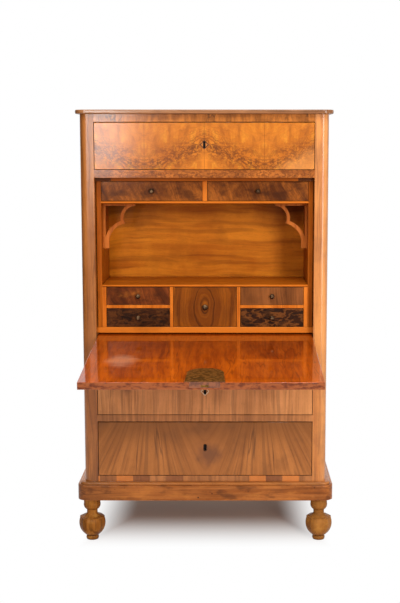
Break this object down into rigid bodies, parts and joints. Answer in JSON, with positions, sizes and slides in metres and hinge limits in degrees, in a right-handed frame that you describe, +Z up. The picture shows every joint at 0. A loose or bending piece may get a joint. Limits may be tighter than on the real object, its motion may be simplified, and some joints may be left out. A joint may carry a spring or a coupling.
{
  "type": "escritoire",
  "caption": "Tall fall-front writing cabinet on turned feet, with long drawers above and below a hinged writing flap and small knobbed drawers round an open niche behind it.",
  "frame": {"origin": "on the floor, under the middle of the space that the open desk takes up", "axes": "+Z up, -Y out of the front, +X to the right of someone facing the front"},
  "size_m": [0.9524, 1.0198, 1.6],
  "materials": {
    "veneer": "polished walnut veneer",
    "interior_wood": "polished cherry",
    "small_drawer_wood": "dark figured walnut veneer",
    "plain_wood": "unpolished pine",
    "foot_wood": "worn polish",
    "brass": "aged",
    "iron": "oiled",
    "knob_metal": "dark patina"
  },
  "bodies": {
    "carcass": {"top_board": "veneer", "left_side": "veneer", "left_post": "veneer", "right_side": "veneer", "right_post": "veneer", "back_panel": "plain_wood", "pivot_sockets": "iron", "frieze_rail": "veneer", "upper_rail": "veneer", "fall_rail": "veneer", "middle_rail": "veneer", "bottom_rail": "veneer", "bottom_board": "plain_wood", "dust_boards": "plain_wood", "drawer_guides": "plain_wood", "plinth_front": "veneer", "plinth_frame": "veneer", "front_left_foot": "foot_wood", "front_right_foot": "foot_wood", "back_feet": "foot_wood", "inner_top": "interior_wood", "inner_floor": "interior_wood", "inner_sides": "interior_wood", "inner_back": "interior_wood", "upper_shelf": "interior_wood", "niche_floor": "interior_wood", "nest_partitions": "interior_wood", "left_bracket": "interior_wood", "right_bracket": "interior_wood", "fall_stop": "interior_wood"},
    "fall": {"fall_board": "veneer", "fall_pivots": "iron", "fall_lock": "brass"},
    "fall_bolt": {"fall_bolt": "brass"},
    "top_drawer": {"top_drawer_front": "veneer", "top_drawer_box": "plain_wood", "top_drawer_lock": "brass"},
    "top_drawer_bolt": {"top_drawer_bolt": "brass"},
    "middle_drawer": {"middle_drawer_front": "veneer", "middle_drawer_box": "plain_wood", "middle_drawer_lock": "brass"},
    "middle_drawer_bolt": {"middle_drawer_bolt": "brass"},
    "bottom_drawer": {"bottom_drawer_front": "veneer", "bottom_drawer_box": "plain_wood", "bottom_drawer_lock": "brass"},
    "bottom_drawer_bolt": {"bottom_drawer_bolt": "brass"},
    "left_upper_drawer": {"left_upper_drawer": "small_drawer_wood", "left_upper_drawer_knob": "knob_metal"},
    "left_nest_upper_drawer": {"left_nest_upper_drawer": "small_drawer_wood", "left_nest_upper_drawer_knob": "knob_metal"},
    "left_nest_lower_drawer": {"left_nest_lower_drawer": "small_drawer_wood", "left_nest_lower_drawer_knob": "knob_metal"},
    "right_upper_drawer": {"right_upper_drawer": "small_drawer_wood", "right_upper_drawer_knob": "knob_metal"},
    "right_nest_upper_drawer": {"right_nest_upper_drawer": "small_drawer_wood", "right_nest_upper_drawer_knob": "knob_metal"},
    "right_nest_lower_drawer": {"right_nest_lower_drawer": "small_drawer_wood", "right_nest_lower_drawer_knob": "knob_metal"},
    "center_nest_drawer": {"center_nest_drawer": "small_drawer_wood", "center_nest_drawer_knob": "knob_metal"}
  },
  "joints": [
    {"name": "fall_hinge", "type": "hinge", "parent": "carcass", "child": "fall", "pos_m": [0, 0.083, 0.762], "axis": [1, 0, 0], "range_deg": [-95.3, 0]},
    {"name": "fall_bolt_slide", "type": "slide", "parent": "fall", "child": "fall_bolt", "axis": [0, -0.9957, -0.0924], "range_m": [0, 0.01]},
    {"name": "top_drawer_slide", "type": "slide", "parent": "carcass", "child": "top_drawer", "axis": [0, -1, 0], "range_m": [0, 0.3]},
    {"name": "top_drawer_bolt_slide", "type": "slide", "parent": "top_drawer", "child": "top_drawer_bolt", "axis": [0, 0, 1], "range_m": [0, 0.01]},
    {"name": "middle_drawer_slide", "type": "slide", "parent": "carcass", "child": "middle_drawer", "axis": [0, -1, 0], "range_m": [0, 0.3]},
    {"name": "middle_drawer_bolt_slide", "type": "slide", "parent": "middle_drawer", "child": "middle_drawer_bolt", "axis": [0, 0, 1], "range_m": [0, 0.01]},
    {"name": "bottom_drawer_slide", "type": "slide", "parent": "carcass", "child": "bottom_drawer", "axis": [0, -1, 0], "range_m": [0, 0.3]},
    {"name": "bottom_drawer_bolt_slide", "type": "slide", "parent": "bottom_drawer", "child": "bottom_drawer_bolt", "axis": [0, 0, 1], "range_m": [0, 0.01]},
    {"name": "left_upper_drawer_slide", "type": "slide", "parent": "carcass", "child": "left_upper_drawer", "axis": [0, -1, 0], "range_m": [0, 0.2]},
    {"name": "left_nest_upper_drawer_slide", "type": "slide", "parent": "carcass", "child": "left_nest_upper_drawer", "axis": [0, -1, 0], "range_m": [0, 0.2]},
    {"name": "left_nest_lower_drawer_slide", "type": "slide", "parent": "carcass", "child": "left_nest_lower_drawer", "axis": [0, -1, 0], "range_m": [0, 0.2]},
    {"name": "right_upper_drawer_slide", "type": "slide", "parent": "carcass", "child": "right_upper_drawer", "axis": [0, -1, 0], "range_m": [0, 0.2]},
    {"name": "right_nest_upper_drawer_slide", "type": "slide", "parent": "carcass", "child": "right_nest_upper_drawer", "axis": [0, -1, 0], "range_m": [0, 0.2]},
    {"name": "right_nest_lower_drawer_slide", "type": "slide", "parent": "carcass", "child": "right_nest_lower_drawer", "axis": [0, -1, 0], "range_m": [0, 0.2]},
    {"name": "center_nest_drawer_slide", "type": "slide", "parent": "carcass", "child": "center_nest_drawer", "axis": [0, -1, 0], "range_m": [0, 0.2]}
  ]
}
